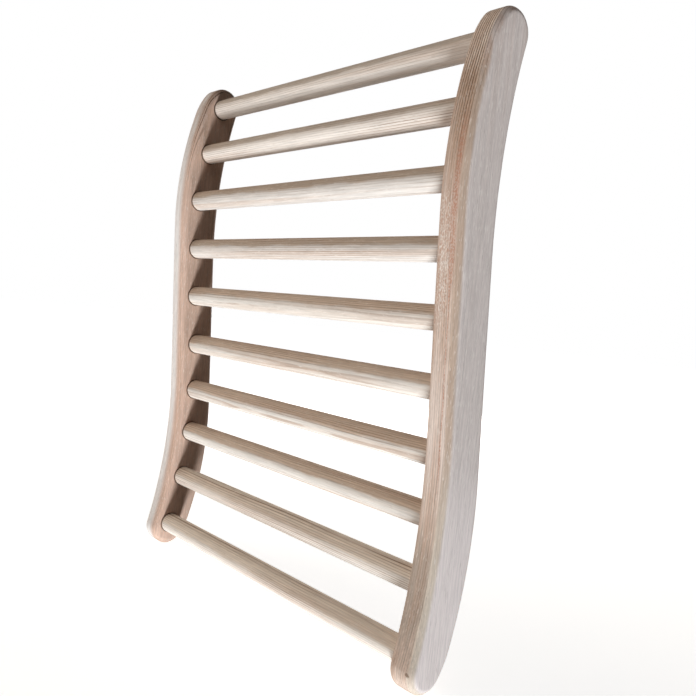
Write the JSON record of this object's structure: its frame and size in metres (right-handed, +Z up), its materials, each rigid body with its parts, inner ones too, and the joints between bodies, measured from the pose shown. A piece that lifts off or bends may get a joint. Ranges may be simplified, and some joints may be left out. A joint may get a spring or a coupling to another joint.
{
  "type": "slatted wooden backrest",
  "caption": "Loose wooden backrest: two S-curved side rails joined by round horizontal bars glued into blind holes.",
  "frame": {"origin": "under the middle of the object, level with the rails' lower ends", "axes": "+X along the bars to the right rail, +Y from the front to the back, +Z up the rails"},
  "size_m": [0.402, 0.056, 0.5],
  "materials": {
    "rail_wood": "matte, sanded and unfinished",
    "bar_wood": "matte, sanded and unfinished"
  },
  "bodies": {
    "root": {"left_rail": "rail_wood", "right_rail": "rail_wood", "bar_1": "bar_wood", "bar_2": "bar_wood", "bar_3": "bar_wood", "bar_4": "bar_wood", "bar_5": "bar_wood", "bar_6": "bar_wood", "bar_7": "bar_wood", "bar_8": "bar_wood", "bar_9": "bar_wood", "bar_10": "bar_wood"}
  },
  "joints": []
}
